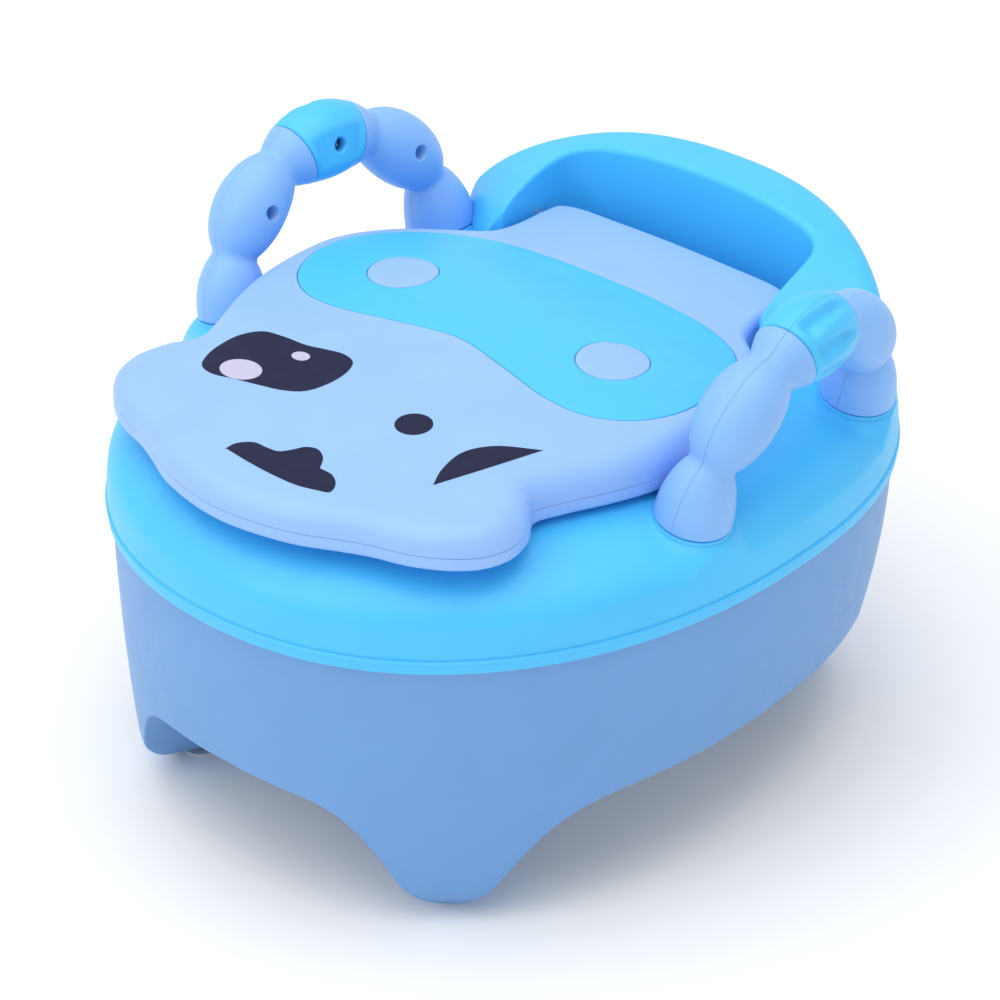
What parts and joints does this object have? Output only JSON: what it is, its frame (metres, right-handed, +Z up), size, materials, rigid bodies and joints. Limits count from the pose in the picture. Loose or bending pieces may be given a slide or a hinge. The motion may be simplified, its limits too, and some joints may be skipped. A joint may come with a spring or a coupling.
{
  "type": "potty training chair",
  "caption": "Free-standing toddler potty chair with a lift-out pot, backrest, beaded side handles and a hinged animal-face lid.",
  "frame": {"origin": "on the floor under the middle of the chair's plan", "axes": "+Z up, -Y towards the front of the chair, +X to the right seen from the front"},
  "size_m": [0.2822, 0.324, 0.2214],
  "materials": {
    "pale_blue_plastic": "satin moulded",
    "cyan_plastic": "satin moulded",
    "pot_plastic": "satin moulded",
    "pad_rubber": "matte",
    "pin_steel": "drawn",
    "screw_steel": "zinc plated"
  },
  "bodies": {
    "base": {"base_shell": "pale_blue_plastic", "foot_pad_front_right": "pad_rubber", "foot_pad_front_left": "pad_rubber", "foot_pad_rear_right": "pad_rubber", "foot_pad_rear_left": "pad_rubber"},
    "pot": {"inner_pot": "pot_plastic"},
    "seat": {"seat_top": "cyan_plastic", "hinge_pin_right": "pin_steel", "hinge_pin_left": "pin_steel", "handle_inner_half_right": "pale_blue_plastic", "handle_outer_half_right": "pale_blue_plastic", "grip_inner_half_right": "cyan_plastic", "grip_outer_half_right": "cyan_plastic", "screw_front_right": "screw_steel", "screw_grip_right": "screw_steel", "screw_rear_right": "screw_steel", "handle_inner_half_left": "pale_blue_plastic", "handle_outer_half_left": "pale_blue_plastic", "grip_inner_half_left": "cyan_plastic", "grip_outer_half_left": "cyan_plastic", "screw_front_left": "screw_steel", "screw_grip_left": "screw_steel", "screw_rear_left": "screw_steel"},
    "lid": {"lid_lower_shell": "pale_blue_plastic", "lid_upper_shell": "pale_blue_plastic", "muzzle_inlay": "cyan_plastic", "nostril_button_right": "pale_blue_plastic", "nostril_button_left": "pale_blue_plastic"}
  },
  "joints": [
    {"name": "pot_lift", "type": "slide", "parent": "base", "child": "pot", "axis": [0, 0, 1], "range_m": [0, 0.1]},
    {"name": "seat_lift", "type": "slide", "parent": "pot", "child": "seat", "axis": [0, 0, 1], "range_m": [0, 0.1]},
    {"name": "lid_hinge", "type": "hinge", "parent": "seat", "child": "lid", "pos_m": [0, 0.101, 0.165], "axis": [-1, 0, 0], "range_deg": [0, 100]}
  ]
}
